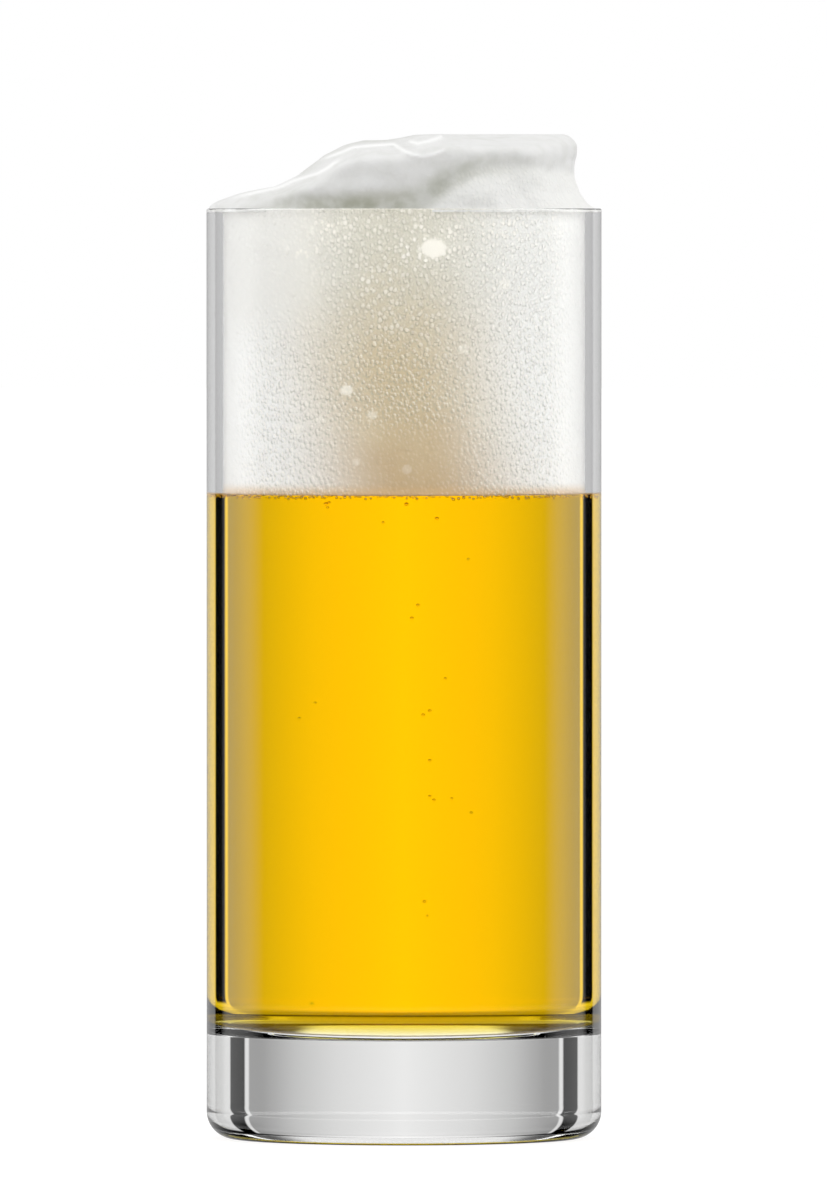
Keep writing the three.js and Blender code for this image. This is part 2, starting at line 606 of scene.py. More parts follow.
    def material(self) -> Material:
        """Makes the material.

        Returns:
            The material, for both pieces of foam.
        """
        made = bpy.data.materials.new(self.name)
        tree = Tree(made)
        place = tree.coordinates("Object")
        unrolled = self.unrolled(tree, place)
        bubbly = tree.carried("bubbly")
        large = tree.carried("large")
        raised = self.domes(tree, unrolled)
        moved = self.domes(tree, tree.vector("ADD", unrolled, self.lit_from))
        chance = tree.cells(unrolled, self.cell)[1]
        upper = tree.axes(place)[2].rise(*shifted(self.upper_height, self.rim))
        patches = tree.noise(place, self.patch_size).rise(*self.patch_band)
        # Painted highlights on the bubbles, in patches and in the clusters marked on the mesh.
        painted_dot_highlight = chance.between(*self.bright_shares) * patches.between(*self.patch_shares)
        painted_dot_highlight = painted_dot_highlight * bubbly * upper
        painted_dot_highlight = painted_dot_highlight + tree.carried("shine") * chance.rise(*self.shine_band)
        # A painted emboss: painted shade and painted highlight on each bubble's flanks, as if lit
        # from one side.
        painted_flank_light = (moved - raised) * bubbly * upper.between(*self.flank_shares)
        blotches = tree.noise(place, self.blotch_size, self.detail).rise(*self.blotch_band)
        # Painted shade in the heap's hollow, broken into blotches.
        hollow_painted_shade = tree.carried("hollow") * blotches.between(*self.blotch_shares)
        colour = tree.mix(tree.carried("inside"), self.above(tree, place), self.inside(tree, place))
        for share, tone in (
            (hollow_painted_shade, self.hollow),
            ((painted_flank_light * self.flank_shade).held(), self.hollow),
            ((painted_flank_light * -self.flank_shine).held(), self.bubble),
            # Painted shade in the gaps between bubbles.
            ((1 - raised) * bubbly * upper * self.gap_shade, self.hollow),
            ((raised * painted_dot_highlight).held(), self.bubble),
            # Painted highlight on the folds' crests.
            (tree.carried("crest"), self.crest),
            # The large bubbles, painted bright as a painted highlight.
            (large, self.bubble),
        ):
            colour = tree.mix(share, colour, tone)
        grain = tree.noise(place, self.grain_size, self.detail) * self.grain_rise
        skin = grain + raised * bubbly.between(*self.dome_rises)
        shader = tree.principled(
            Base_Color=colour,
            Roughness=self.roughness,
            Specular_IOR_Level=self.specular,
            Normal=tree.bump(skin * (1 - large), self.relief),
        )
        tree.surface(shader["BSDF"])
        return made


def smooth_object(name: str, mesh: Mesh, crease: float = 40.0) -> Object:
    """Makes a smooth-shaded object of a mesh.

    Args:
        name: The object's name.
        mesh: Its mesh.
        crease: Edges sharper than this angle, in degrees, stay sharp.

    Returns:
        The object, in the scene.
    """
    mesh.shade_smooth()
    mesh.set_sharp_from_angle(angle=math.radians(crease))
    made = bpy.data.objects.new(name, mesh)
    bpy.context.scene.collection.objects.link(made)
    return made


def arc(radius: float, height: float, size: float, start: float, end: float, steps: int) -> Profile:
    """Points of a circular arc in a profile.

    Args:
        radius: The centre's distance from the axis.
        height: The centre's height.
        size: The arc's own radius.
        start: The first angle, in degrees.
        end: The last angle.
        steps: How many steps it has.

    Returns:
        The points, as radius and height.
    """
    angles = np.radians(np.linspace(start, end, steps + 1))
    return [(radius + size * math.cos(a), height + size * math.sin(a)) for a in angles]


def wrap_rings(name: str, rings: np.ndarray, bottom: float, top: float) -> Mesh:
    """Wraps a mesh round rings of points, and closes it with a point on the axis at each end.

    Args:
        name: The mesh's name.
        rings: The points, by ring and by turn.
        bottom: The height of the end next to the first ring.
        top: The height of the end next to the last ring.

    Returns:
        A closed mesh that faces out.
    """
    levels, steps = rings.shape[:2]
    points = [(0.0, 0.0, bottom), (0.0, 0.0, top), *rings.reshape(-1, 3).tolist()]
    ring = np.arange(steps)
    after = (ring + 1) % steps
    last = 2 + (levels - 1) * steps
    faces = np.stack((ring * 0, after + 2, ring + 2), 1).tolist()
    faces += np.stack((ring * 0 + 1, ring + last, after + last), 1).tolist()
    for level in range(levels - 1):
        quads = np.stack((ring, after, after + steps, ring + steps), 1) + (2 + level * steps)
        faces += quads.tolist()
    mesh = bpy.data.meshes.new(name)
    mesh.from_pydata(points, [], faces)
    return mesh


def turned_mesh(name: str, profile: Profile, steps: int) -> Mesh:
    """Turns a profile about the axis.

    Args:
        name: The mesh's name.
        profile: Radius and height from the bottom on the axis, round the outside, to the axis.
        steps: How many steps go round.

    Returns:
        A closed mesh that faces out.
    """
    turns = np.arange(steps) * (FULL_TURN / steps)
    radius, height = np.array(profile[1:-1]).T[:, :, None]
    parts = np.broadcast_arrays(radius * np.cos(turns), radius * np.sin(turns), height)
    return wrap_rings(name, np.stack(parts, -1), profile[0][1], profile[-1][1])


def dress(made: Object, node: Node, slot: Slot, *materials: Material) -> None:
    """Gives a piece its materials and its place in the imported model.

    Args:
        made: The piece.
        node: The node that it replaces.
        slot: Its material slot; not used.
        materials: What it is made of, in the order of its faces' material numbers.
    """
    for material in materials:
        made.data.materials.append(material)
    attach(made, BODY)
    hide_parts(node.value)
    log.info("%s: %d faces", made.name, len(made.data.polygons))


@dataclass
class Tumbler:
    """The glass: a straight wall on a heavy base."""

    radius: float
    height: float
    wet_to: float
    wall: float = 2.6 * MM
    base: float = 17.2 * MM
    heel: float = 4.6 * MM
    floor_fillet: float = 6.5 * MM
    rim_rounding: float = 0.3 * MM
    edge_hold: float = 0.1 * MM
    tolerance: float = 0.01 * MM
    ring_width: float = 8 * MM
    punt: float = 0.8 * MM
    turn_steps: int = 360
    fillet_steps: int = 24
    rim_steps: int = 8

    @property
    def inner_radius(self) -> float:
        """The hollow's radius."""
        return self.radius - self.wall

    @property
    def floor_radius(self) -> float:
        """The level floor's radius."""
        return self.inner_radius - self.floor_fillet

    def profile(self) -> Profile:
        """The section, from the punt up the outside, over the rim and down to the floor.

        Returns:
            Its corners, as radius and height.
        """
        ring_outer = self.radius - self.heel
        ring_inner = ring_outer - self.ring_width
        fillet = self.floor_fillet
        rim = self.rim_rounding
        shares = np.linspace(0, 1, self.fillet_steps + 1)
        punt = [(ring_inner * s, self.punt * (1 + math.cos(math.pi * s)) / 2) for s in shares]
        held = self.edge_hold
        return [
            *punt,
            (ring_inner + held, 0.0),
            (ring_outer - held, 0.0),
            *arc(ring_outer, self.heel, self.heel, -90, 0, self.fillet_steps),
            (self.radius, self.heel + held),
            (self.radius, self.height - rim - held),
            *arc(self.radius - rim, self.height - rim, rim, 0, 90, self.rim_steps),
            *arc(self.inner_radius + rim, self.height - rim, rim, 90, 180, self.rim_steps),
            (self.inner_radius, self.height - rim - held),
            (self.inner_radius, self.wet_to),
            (self.inner_radius, self.base + fillet + held),
            *arc(self.floor_radius, self.base + fillet, fillet, 0, -90, self.fillet_steps),
            (self.floor_radius - held, self.base),
            (0.0, self.base),
        ]

    def build(self, dry: Glass, wet: Glass) -> Object:
        """Makes the glass.

        Args:
            dry: Its finish against air.
            wet: Its finish against beer.

        Returns:
            The glass.
        """
        mesh = turned_mesh("tumbler_glass", self.profile(), self.turn_steps)
        for face in mesh.polygons:
            inside = face.center.xy.length < self.inner_radius + self.tolerance
            if inside and self.base - self.tolerance < face.center.z < self.wet_to:
                face.material_index = 1
        made = smooth_object("tumbler_glass", mesh)
        dress(made, Node.TUMBLER, Slot.GLASS, dry.material(), wet.material())
        return made


def ball(fineness: int) -> tuple[list[Vector], list[tuple[int, ...]]]:
    """A round ball of radius 1.

    Args:
        fineness: How often its faces are split.

    Returns:
        Its points, and each face's numbers of points.
    """
    shape = bmesh.new()
    bmesh.ops.create_icosphere(shape, subdivisions=fineness, radius=1.0)
    points = [vertex.co.copy() for vertex in shape.verts]
    faces = [tuple(vertex.index for vertex in face.verts) for face in shape.faces]
    shape.free()
    return points, faces


@dataclass
class Beer:
    """The lager, with bubbles on their way up and a fringe of them under the foam.

    Each bubble is given by how far right of the axis it is seen, how far below the rim, how far
    behind the axis it is, and its radius, all in millimetres.
    """

    glass: Tumbler
    top: float
    film: float = 0.01 * MM
    turn_steps: int = 300
    fillet_steps: int = 20
    ior: float = BEER_INDEX
    bubbles: tuple[tuple[float, float, float, float], ...] = (
        (-13.0, 49.2, -6.0, 0.30),
        (-12.5, 49.0, -5.0, 0.24),
        (-12.7, 49.8, -6.5, 0.22),
        (0.4, 49.2, -8.0, 0.30),
        (5.5, 51.7, 2.0, 0.27),
        (-3.5, 52.4, 6.0, 0.20),
        (10.7, 58.4, -4.0, 0.20),
        (2.3, 66.1, 0.0, 0.24),
        (1.3, 68.3, 3.0, 0.24),
        (6.9, 78.3, -2.0, 0.22),
        (-14.9, 82.5, 5.0, 0.20),
        (-17.5, 85.0, 1.0, 0.20),
        (4.3, 83.8, 4.0, 0.24),
        (3.2, 84.4, -1.0, 0.25),
        (4.3, 92.0, 1.0, 0.22),
        (4.3, 97.9, -3.0, 0.22),
        (5.0, 98.6, 0.0, 0.24),
        (8.0, 98.4, 3.0, 0.20),
        (11.2, 100.7, -2.0, 0.22),
        (3.4, 115.6, 2.0, 0.24),
        (3.9, 117.8, -4.0, 0.18),
        (-15.4, 132.7, 0.0, 0.22),
    )
    fringe_count: int = 900
    fringe_seed: int = 7
    fringe_radii: Range = (0.10 * MM, 0.28 * MM)
    wall_gaps: Range = (0.03 * MM, 0.3 * MM)
    foam_gaps: Range = (0.02 * MM, 0.55 * MM)
    fine_over: float = 0.28 * MM / 1.3
    fineness: tuple[int, int] = (2, 3)

    def profile(self) -> Profile:
        """The section, as close to the glass as a film.

        Returns:
            Its corners, as radius and height.
        """
        radius = self.glass.inner_radius - self.film
        floor = self.glass.base + self.film
        fillet = self.glass.floor_fillet - self.film
        held = self.glass.edge_hold
        return [
            (0.0, floor),
            (radius - fillet - held, floor),
            *arc(radius - fillet, floor + fillet, fillet, -90, 0, self.fillet_steps),
            (radius, floor + fillet + held),
            (radius, self.top - held),
            (radius, self.top),
            (radius - held, self.top),
            (0.0, self.top),
        ]

    def bubble_places(self) -> list[tuple[Vector, float]]:
        """Places the bubbles, so that none touches another.

        Returns:
            Where each bubble is, with its radius.
        """
        places = []
        outside = self.glass.radius
        for aside, below, behind, radius in self.bubbles:
            seen = aside * MM
            bend = math.asin(seen / outside) - math.asin(seen / (outside * self.ior))
            depth = behind * MM + math.sqrt(outside**2 - seen**2)
            x = seen - math.tan(bend) * depth
            places.append((Vector((x, behind * MM, self.glass.height - below * MM)), radius * MM))
        random = np.random.default_rng(self.fringe_seed)
        for _ in range(self.fringe_count):
            radius = random.uniform(*self.fringe_radii)
            turn = random.uniform(0, FULL_TURN)
            reach = self.glass.inner_radius - radius - random.uniform(*self.wall_gaps)
            level = self.top - radius - random.uniform(*self.foam_gaps)
            place = Vector((reach * math.cos(turn), reach * math.sin(turn), level))
            if all((place - other).length > radius + size for other, size in places):
                places.append((place, radius))
        return places

    def build(self, body: Lager, bubble: Clear) -> Object:
        """Makes the beer.

        Args:
            body: Its own finish.
            bubble: The finish of the bubbles in it.

        Returns:
            The beer.
        """
        still = turned_mesh("lager_body", self.profile(), self.turn_steps)
        points = [tuple(vertex.co) for vertex in still.vertices]
        faces = [tuple(face.vertices) for face in still.polygons]
        body_faces = len(faces)
        small_ball, large_ball = map(ball, self.fineness)
        for place, radius in self.bubble_places():
            ball_points, ball_faces = large_ball if radius > self.fine_over else small_ball
            first = len(points)
            points += [tuple(place + corner * radius) for corner in ball_points]
            faces += [tuple(first + i for i in reversed(face)) for face in ball_faces]
        mesh = bpy.data.meshes.new("lager")
        mesh.from_pydata(points, [], faces)
        bubble_faces = [0] * body_faces + [1] * (len(faces) - body_faces)
        mesh.polygons.foreach_set("material_index", bubble_faces)
        beer = smooth_object("lager", mesh)
        dress(beer, Node.BEER, Slot.BEER, body.material(), bubble.material())
        return beer


def spread(points: np.ndarray, wavelength: float, count: int, seed: int) -> np.ndarray:
    """Smooth noise of many slanted waves.

    Args:
        points: Coordinates along the last axis.
        wavelength: About how far apart its crests are.
        count: How many waves it has.
        seed: The random seed.

    Returns:
        Values that mostly lie between -1 and 1.
    """
    random = np.random.default_rng(seed)
    total = np.zeros(points.shape[:-1])
    for _ in range(count):
        slant = random.normal(size=points.shape[-1])
        length = np.linalg.norm(slant) * wavelength * random.uniform(*WAVE_SHARES)
        total += np.sin(points @ (slant * (FULL_TURN / length)) + random.uniform(0, FULL_TURN))
    return total / math.sqrt(count)


def eased(value: np.ndarray, low: float, high: float) -> np.ndarray:
    """Goes smoothly from 0 at low to 1 at high."""
    share = np.clip((value - low) / (high - low), 0, 1)
    return share * share * (3 - 2 * share)


def carry(mesh: Mesh, **values: np.ndarray) -> None:
    """Stores values at a mesh's points for its material.

    Args:
        mesh: The mesh.
        values: The values for its points, by name.
    """
    for name, value in values.items():
        stored = mesh.attributes.new(name, "FLOAT", "POINT")
        stored.data.foreach_set("value", np.ascontiguousarray(value, dtype=np.float32).ravel())


def path_distance(x: np.ndarray, z: np.ndarray, path: Profile) -> tuple[np.ndarray, np.ndarray]:
    """Measures how far places in a plane are from a bent line.

    Args:
        x: The places' first coordinate.
        z: Their second one.
        path: The line's corners.

    Returns:
        The distance to the line, and how far along it, from 0 to 1, its nearest point is.
    """
    best = np.full(x.shape, np.inf)
    along = np.zeros(x.shape)
    for i, ((ax, az), (bx, bz)) in enumerate(zip(path, path[1:])):
        dx, dz = bx - ax, bz - az
        share = np.clip(((x - ax) * dx + (z - az) * dz) / (dx * dx + dz * dz), 0, 1)
        distance = np.hypot(x - ax - share * dx, z - az - share * dz)
        closer = distance < best
        best = np.where(closer, distance, best)
        along = np.where(closer, (i + share) / (len(path) - 1), along)
    return best, along


def skin_of(field: np.ndarray, origin: np.ndarray, step: float) -> Mesh:
    """Wraps a mesh round the part of a field that is below zero.

    Each cell of the grid that the skin passes through has one point, in the middle of where the
    skin crosses its edges, and each edge that it crosses has one face.

    Args:
        field: Values on a grid along X, Y and Z.
        origin: The place of its first value.
        step: The grid's step.

    Returns:
        A closed mesh that faces out.
    """
    cells = tuple(n - 1 for n in field.shape)
    total = np.zeros((*cells, 3))
    count = np.zeros(cells)
    crossings = []
    for axis in range(3):
        low = np.take(field, range(field.shape[axis] - 1), axis)
        high = np.take(field, range(1, field.shape[axis]), axis)
        crossed = (low < 0) != (high < 0)
        crossings.append((crossed, low < 0))
        share = np.where(crossed, low / np.where(crossed, low - high, 1), 0)
        u, v = [other for other in range(3) if other != axis]
        for du in (0, 1):
            for dv in (0, 1):
                part = [slice(None)] * 3
                part[u] = slice(du, du + cells[u])
                part[v] = slice(dv, dv + cells[v])
                here = crossed[tuple(part)]
                offset = np.zeros((*cells, 3))
                offset[..., axis] = share[tuple(part)]
                offset[..., u] = du
                offset[..., v] = dv
                total += offset * here[..., None]
                count += here
    used = count > 0
    number = np.full(cells, -1)
    number[used] = np.arange(used.sum())
    corners = np.argwhere(used) + total[used] / count[used][:, None]
    faces = []
    for axis, (crossed, inside) in enumerate(crossings):
        u, v = (axis + 1) % 3, (axis + 2) % 3
        at = np.argwhere(crossed)
        at = at[(at[:, u] > 0) & (at[:, v] > 0) & (at[:, u] < cells[u]) & (at[:, v] < cells[v])]
        ring = []
        for du, dv in ((1, 1), (0, 1), (0, 0), (1, 0)):
            cell = at.copy()
            cell[:, u] -= du
            cell[:, v] -= dv
            ring.append(number[tuple(cell.T)])
        quads = np.stack(ring, axis=1)
        flip = ~inside[tuple(at.T)]
        quads[flip] = quads[flip][:, ::-1]
        faces.append(quads)
    mesh = bpy.data.meshes.new("skin")
    mesh.from_pydata((origin + corners * step).tolist(), [], np.concatenate(faces).tolist())
    return mesh


def turned_from(turns: np.ndarray, at: float) -> np.ndarray:
    """How far turns are from another one, within half a turn either way."""
    return (turns - at + math.pi) % FULL_TURN - math.pi


@dataclass
class FoamColumn:
    """The foam inside the glass, with bubbles pressed flat against it.

    Large bubbles, painted bright, and clusters of bubbles with painted highlights are given by how
    far right of the axis and how far below the rim they are, half their width and half their
    height, all in millimetres, and how strongly they show. Places across are shares of the radius,
    and depths are shares of the whole.
    """

    glass: Tumbler
    radius: float
    beer_top: float
    overlap: float = 0.2 * MM
    below_rim: float = 0.1 * MM
    # The skin: its grid's step, its slow swells, its domes, and how near it comes to the glass.
    cell: float = 0.31 * MM
    crease: float = 60.0
    swell: float = 0.05 * MM
    swells: Waves = (5 * MM, 12, 3)
    seed: int = 11
    dome_count: int = 3600
    dome_radii: Range = (0.3 * MM, 0.62 * MM)
    dome_rise: float = 0.28
    large_edge: Range = (0.8, 1.1)
    large_rise: float = 0.2 * MM
    gap: float = 0.02 * MM
    skin_gap: float = 0.03 * MM
    foot: Range = (0.3 * MM, 1.3 * MM)
    # Where its bubbles fade: at the sides, at the upper left, and low down in the middle.
    faint_across: Range = (0.72, 0.94)
    faint_share: float = 0.8
    bare_across: Range = (0.35, 0.55)
    bare_depth: Range = (0.3, 0.5)
    bare_share: float = 0.8
    plain_across: Range = (0.15, 0.5)
    plain_depth: Range = (0.66, 0.84)
    plain_share: float = 0.85
    large: tuple[tuple[float, float, float, float, float], ...] = (
        (4.8, 6.6, 2.15, 1.6, 1.0),
        (-9.2, 30.1, 1.1, 0.9, 0.6),
        (-5.1, 34.2, 0.8, 0.7, 0.4),
        (-7.7, 42.0, 0.7, 0.7, 0.25),
        (0.5, 43.2, 0.8, 0.8, 0.2),
        (16.2, 12.6, 1.1, 0.9, 0.35),
        (9.5, 23.3, 1.0, 0.8, 0.3),
        (-17.0, 36.5, 1.0, 0.9, 0.3),
        (-13.5, 35.0, 0.8, 0.6, 0.3),
    )
    clusters: tuple[tuple[float, float, float, float, float], ...] = (
        (-10.8, 3.2, 3.4, 2.4, 0.9),
        (-15.6, 6.6, 2.6, 1.4, 0.7),
        (1.4, 6.6, 2.4, 3.0, 1.0),
        (4.8, 4.0, 4.0, 1.8, 1.0),
        (4.8, 6.5, 3.5, 2.8, 1.3),
        (-3.5, 1.4, 11.0, 1.8, 0.45),
        (-3.5, 10.5, 6.5, 5.0, 0.35),
        (-1.0, 18.5, 6.0, 5.0, 0.25),
        (15.5, 3.2, 4.0, 1.4, 0.5),
    )

    @property
    def bottom(self) -> float:
        """The height of its lower end, a little way into the beer."""
        return self.beer_top - self.overlap

    @property
    def top(self) -> float:
        """The height of its upper end, just under the rim."""
        return self.glass.height - self.below_rim

    def build(self, material: Material) -> Object:
        """Makes the column with its dimpled skin.

        Args:
            material: The froth.

        Returns:
            The column.
        """
        steps = int(FULL_TURN * self.radius / self.cell)
        levels = int((self.top - self.bottom) / self.cell)
        turns = np.arange(steps) * (FULL_TURN / steps)
        heights = np.linspace(self.bottom, self.top, levels)
        turn, height = np.meshgrid(turns, heights)
        place = np.stack((np.cos(turn) * self.radius, np.sin(turn) * self.radius, height), -1)
        rise = spread(place, *self.swells) * self.swell
        random = np.random.default_rng(self.seed)
        for _ in range(self.dome_count):
            size = random.uniform(*self.dome_radii)
            level = random.uniform(self.bottom, self.top)
            self.raise_dome(rise, turns, heights, (random.uniform(0, FULL_TURN), level), size)
        rise, large = self.raise_large(rise, turn, height)
        touching = self.glass.inner_radius - self.gap
        radius = np.minimum(self.radius + rise, touching - self.skin_gap)
        radius = radius + (touching - radius) * (1 - eased(height - self.bottom, *self.foot))
        rings = np.stack((np.cos(turn) * radius, np.sin(turn) * radius, height), -1)
        mesh = wrap_rings("foam_in_glass", rings, self.bottom, self.top)
        ends = np.zeros(2)
        marks = {"large": large, **self.marks(place)}
        carry(mesh, inside=np.ones(len(mesh.vertices)))
        carry(mesh, **{name: np.append(ends, value) for name, value in marks.items()})
        made = smooth_object("foam_in_glass", mesh, self.crease)
        dress(made, Node.FOAM_HEAD, Slot.FOAM, material)
        return made

    def raise_dome(
        self, rise: np.ndarray, turns: np.ndarray, heights: np.ndarray, at: Range, size: float
    ) -> None:
        """Raises one bubble on the skin.

        Args:
            rise: How far the skin stands out, by height and turn.
            turns: The grid's turns.
            heights: The grid's heights.
            at: The bubble's turn and height.
            size: Its radius.
        """
        gap = turned_from(turns, at[0])
        columns = np.nonzero(np.abs(gap) * self.radius < size)[0]
        rows = np.nonzero(np.abs(heights - at[1]) < size)[0]
        if not len(columns) or not len(rows):
            return
        across = gap[columns] * self.radius / size
        along = (heights[rows] - at[1]) / size
        inside = 1 - across[None, :] ** 2 - along[:, None] ** 2
        dome = np.sqrt(np.clip(inside, 0, 1)) * size * self.dome_rise
        window = np.ix_(rows, columns)
        rise[window] = np.maximum(rise[window], dome)

    def raise_large(
        self, rise: np.ndarray, turn: np.ndarray, height: np.ndarray
    ) -> tuple[np.ndarray, np.ndarray]:
        """Raises the large bubbles on the skin.

        Args:
            rise: How far the skin stands out.
            turn: Where each of its places is, round the axis.
            height: How high each is.

        Returns:
            How far the skin stands out now, and how strongly a large bubble shows.
        """
        reach = self.cell * turn.shape[1] / FULL_TURN
        large = np.zeros_like(rise)
        for aside, below, wide, high, strength in self.large:
            at = math.asin(aside * MM / reach) - math.pi / 2
            level = self.glass.height - below * MM
            across = turned_from(turn, at) * self.radius / (wide * MM)
            away = np.hypot(across, (height - level) / (high * MM))
            seen = (1 - eased(away, *self.large_edge)) * strength
            dome = np.sqrt(np.clip(1 - away**2, 0, 1)) * self.large_rise
            rise = rise * (1 - seen) + dome * seen
            large = np.maximum(large, seen)
        return rise, large

    def marks(self, place: np.ndarray) -> dict[str, np.ndarray]:
        """Says how much the bubbles show, and where painted highlights make them shine.

        Args:
            place: The places on the skin.

        Returns:
            The values for the material, by name.
        """
        x, y, z = (place[..., i] for i in range(3))
        across = x / self.radius
        aside = np.abs(across)
        below = (self.glass.height - z) / MM
        depth = below / ((self.glass.height - self.bottom) / MM)
        bare = eased(-across, *self.bare_across) * (1 - eased(depth, *self.bare_depth))
        plain = eased(depth, *self.plain_depth) * (1 - eased(aside, *self.plain_across))
        bubbly = 1 - eased(aside, *self.faint_across) * self.faint_share
        bubbly = bubbly * (1 - self.bare_share * bare) * (1 - self.plain_share * plain)
        # The clusters of painted highlights, on the front only.
        shine = np.zeros(x.shape)
        for right, down, wide, high, strength in self.clusters:
            away = np.hypot((x / MM - right) / wide, (below - down) / high)
            shine = np.maximum(shine, strength * np.exp(-(away**2)) * (y < 0))
        return {"bubbly": bubbly, "shine": shine}


def follow(path: Profile, at: np.ndarray) -> np.ndarray:
    """Reads a path's second value off at places along its first."""
    return np.interp(at, *np.array(path).T)


@dataclass
class FoamCrown:
    """The foam that heaps up above the rim, scraped level at the top right.

    Its sizes are in millimetres from the axis and above the rim.
    """

    rim: float
    # The grid's step, half width and height, and where the heap starts and is scraped level.
    step: float = 0.36
    room: Range = (34.0, 12.8)
    sunk: float = 0.6
    top: float = 12.4
    crease: float = 80.0
    soft_steps: int = 2
    # The outline from the front, how far its slope falls back, and how its top droops with depth.
    outline: Profile = (
        (-33.0, -0.3), (-32.4, 0.75), (-31.6, 1.25), (-28.6, 2.1), (-25.9, 2.8), (-21.9, 3.4),
        (-19.6, 4.5), (-17.9, 5.4), (-16.7, 6.4), (-13.4, 8.8), (-10.0, 10.6), (-6.85, 11.4),
        (-3.3, 11.4), (-0.7, 11.8), (1.7, 12.3), (4.0, 12.4), (32.0, 12.4),
    )  # fmt: skip
    lag: float = 0.10
    lag_across: Range = (-20.0, 5.0)
    reach: float = 31.5
    least_half: float = 3.0
    droop: float = 0.1
    droop_share: float = 0.2
    swells: Waves = (13.0, 10, 5)
    swell_offset: float = 1.2
    swell: float = 0.35
    swell_depth: Range = (0.5, 9.0)
    # The sides, by height, and where the right and the left one take over from the front one.
    right_side: Profile = (
        (-0.6, 31.9), (0.1, 31.7), (0.75, 30.7), (2.6, 29.4), (5.4, 28.4), (7.8, 28.4),
        (9.2, 28.95), (10.6, 28.9), (12.4, 27.9),
    )  # fmt: skip
    left_side: Profile = ((-0.6, 32.6), (0.3, 32.8), (1.3, 31.4), (3.0, 29.6), (12.4, 29.0))
    front_side: Profile = (
        (-0.6, 30.6), (0.5, 30.5), (2.6, 30.3), (5.0, 29.9), (8.0, 30.3), (10.5, 30.0),
        (12.4, 28.6),
    )  # fmt: skip
    right_across: Range = (19.0, 28.0)
    left_across: Range = (20.0, 29.0)
    lumps: Waves = (9.0, 14, 8)
    lump: float = 0.35
    ripples: Waves = (3.2, 16, 9)
    ripple: float = 0.12
    blend: float = 1.7
    # The hollow: its line, and how deep and wide it is across, and how dark its painted shade is.
    hollow: Profile = (
        (-25.0, 0.6), (-19.0, 0.5), (-10.7, 0.4), (-2.0, 0.6), (2.5, 1.4), (5.2, 3.0),
        (7.7, 5.1), (11.0, 6.5), (14.4, 7.2), (19.4, 7.2), (24.4, 6.6), (29.0, 6.2),
    )  # fmt: skip
    hollow_depth: Profile = (
        (-27, 0), (-18, 1.6), (-8, 2.6), (3, 2.6), (14, 2.2), (22, 0.8), (27.5, 0),
    )  # fmt: skip
    hollow_width: Profile = ((-20, 1.5), (0, 2.4), (12, 1.4), (25, 1.2))
    hollow_shade: Profile = (
        (-27, 0), (-18, 0.7), (-8, 1.0), (3, 0.75), (14, 0.4), (22, 0.1), (28, 0),
    )  # fmt: skip
    shade_width: float = 2.0
    outer: Range = (12.0, 22.0)
    # The folds, and their rise, width and tapered ends as formed and as marked with a painted
    # highlight on their crests.
    folds: tuple[Profile, ...] = (
        (
            (-29.9, 1.5), (-25.5, 2.5), (-20.9, 3.5), (-18.4, 4.6), (-16.2, 5.3), (-14.4, 5.8),
            (-12.6, 6.8), (-11.7, 7.5), (-9.9, 8.4),
        ),
        (
            (-14.4, 7.9), (-12.6, 8.6), (-10.6, 9.3), (-8.4, 10.2), (-5.0, 10.5), (-1.7, 10.7),
            (-0.2, 9.7), (1.4, 8.9), (3.0, 8.6), (4.8, 8.9), (6.3, 9.5), (7.2, 10.4),
        ),
        ((0.5, 11.3), (2.3, 10.8), (4.1, 11.2), (5.9, 11.8), (6.4, 12.2)),
    )  # fmt: skip
    fold: float = 0.5
    fold_form: Range = (0.4, 0.1)
    fold_mark: Range = (0.3, 0.12)
    # The shaded slope under the outline's left part, and the bubbly stem under the hollow.
    slope_left: Range = (-19.0, -16.0)
    slope_right: Range = (-4.0, 1.0)
    slope_width: float = 0.7
    slope_shade: float = 0.3
    stem_below: Range = (-0.5, 1.0)
    stem_across: Range = (3.0, 8.0)
    stem_bubbles: float = 0.3

    def build(self, material: Material) -> Object:
        """Makes the heap.

        Args:
            material: The froth.

        Returns:
            The heap.
        """
        half, high = self.room
        x = np.arange(-half, half + self.step, self.step)
        z = np.arange(-self.sunk - 2 * self.step, high + 2 * self.step, self.step)
        field = self.shape(np.stack(np.meshgrid(x, x, z, indexing="ij"), -1))
        mesh = skin_of(field, np.array((x[0], x[0], z[0])), self.step)
        points = np.array([v.co for v in mesh.vertices])
        self.mark(mesh, points)
        points = points * MM + np.array((0.0, 0.0, self.rim))
        mesh.vertices.foreach_set("co", points.astype(np.float32).ravel())
        made = smooth_object("foam_crown", mesh, self.crease)
        soften = made.modifiers.new("soften", "SMOOTH")
        soften.iterations = self.soft_steps
        settle(made)
        dress(made, Node.FOAM_HEAD, Slot.FOAM, material)
        return made

    def shape(self, place: np.ndarray) -> np.ndarray:
        """The heap as a field that is below zero inside it.

        Args:
            place: A grid of places, right of the axis, behind it and above the rim.

        Returns:
            About how far outside the heap each place is.
        """
        x, y, z = np.moveaxis(place, -1, 0)
        above = z - np.minimum(self.top_at(place), self.top)
        outside = np.hypot(x, y) - self.side_at(place)
        pinch = np.clip(0.5 + 0.5 * (above - outside) / self.blend, 0, 1)
        field = outside + (above - outside) * pinch + self.blend * pinch * (1 - pinch)
        for near in self.near_folds(x[:, :1], z[:, :1], *self.fold_form):
            field = field - self.fold * near
        return np.maximum(field, -self.sunk - z)

